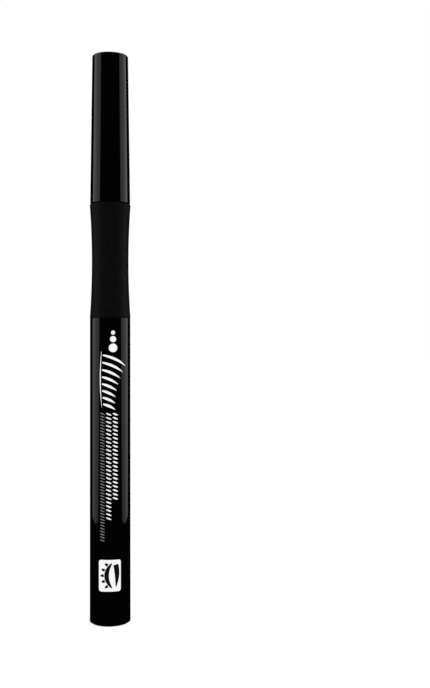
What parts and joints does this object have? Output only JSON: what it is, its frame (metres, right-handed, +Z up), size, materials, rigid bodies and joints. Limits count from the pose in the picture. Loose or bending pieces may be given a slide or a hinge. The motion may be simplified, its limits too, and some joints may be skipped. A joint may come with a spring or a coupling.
{
  "type": "eyeliner pen",
  "caption": "Slim black liquid eyeliner pen with a pull-off cap, waisted soft grip, flared nozzle and pointed felt nib fed from an ink tank.",
  "frame": {"origin": "centre of the flat bottom of the end plug, which the pen stands on", "axes": "+Z up along the pen's axis, from the end plug to the cap's top"},
  "size_m": [0.01, 0.01, 0.1409],
  "materials": {
    "barrel_gloss": "gloss black moulded plastic",
    "cap_gloss": "gloss black moulded plastic",
    "plug_gloss": "gloss black moulded plastic",
    "nozzle_gloss": "gloss black moulded plastic",
    "grip_rubber": "soft-touch matte black",
    "nib_felt": "bonded felt, ink black",
    "holder_plastic": "black moulded plastic",
    "front_barrel_plastic": "black moulded plastic",
    "tank_plastic": "natural translucent moulded plastic",
    "ball_steel": "polished steel",
    "collector_plastic": "white moulded plastic",
    "seal_rubber": "black rubber",
    "wick_fibre": "bonded fibre, ink black",
    "retainer_plastic": "black moulded plastic",
    "inner_cap_plastic": "black moulded plastic",
    "washer_rubber": "black rubber",
    "spring_steel": "bright drawn wire"
  },
  "bodies": {
    "pen": {"end_plug": "plug_gloss", "barrel": "barrel_gloss", "grip_sleeve": "grip_rubber", "front_barrel": "front_barrel_plastic", "ink_tank": "tank_plastic", "ink_collector": "collector_plastic", "tank_seal": "seal_rubber", "feed_wick": "wick_fibre", "nozzle": "nozzle_gloss", "nib_holder": "holder_plastic", "nib": "nib_felt"},
    "cap": {"cap_shell": "cap_gloss", "cap_retainer": "retainer_plastic", "cap_spring": "spring_steel"},
    "inner_cap": {"inner_cap": "inner_cap_plastic", "inner_cap_seal": "washer_rubber"},
    "mixing_ball": {"mixing_ball": "ball_steel"}
  },
  "joints": [
    {"name": "cap_pull", "type": "slide", "parent": "pen", "child": "cap", "axis": [0, 0, 1], "range_m": [0, 0.04]},
    {"name": "inner_cap_travel", "type": "slide", "parent": "cap", "child": "inner_cap", "axis": [0, 0, 1], "range_m": [0, 0.0057], "stiffness_N_per_m": 100, "springref_m": -0.003, "deforming": ["cap_spring"]},
    {"name": "mixing_ball_roll", "type": "slide", "parent": "pen", "child": "mixing_ball", "axis": [0, 0, 1], "range_m": [0, 0.0465]}
  ]
}
